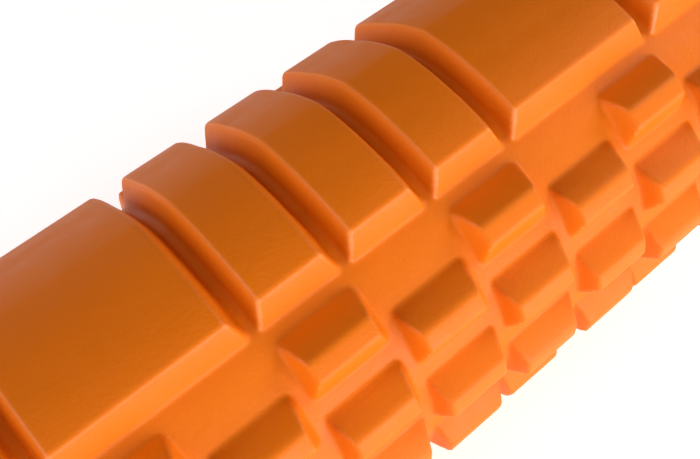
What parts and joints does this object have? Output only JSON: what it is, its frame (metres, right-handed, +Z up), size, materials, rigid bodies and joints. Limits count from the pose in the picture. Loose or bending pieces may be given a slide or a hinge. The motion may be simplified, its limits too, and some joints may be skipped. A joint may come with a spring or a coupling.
{
  "type": "foam roller",
  "caption": "Hollow foam roller for massage: a rigid core tube under a moulded foam sleeve with a tread of large, narrow and small blocks.",
  "frame": {"origin": "on the ground below the middle of the roller as it lies on its tread", "axes": "+X along the roller's axis, +Z up, -Y towards the side where the zone of small blocks starts right below the band of large blocks"},
  "size_m": [0.33, 0.1383, 0.1401],
  "materials": {
    "core_plastic": "satin moulded ABS",
    "adhesive": "dried contact adhesive",
    "foam": "satin moulded EVA foam skin"
  },
  "bodies": {
    "root": {"core_tube": "core_plastic", "glue_film": "adhesive", "foam_sleeve": "foam"}
  },
  "joints": []
}
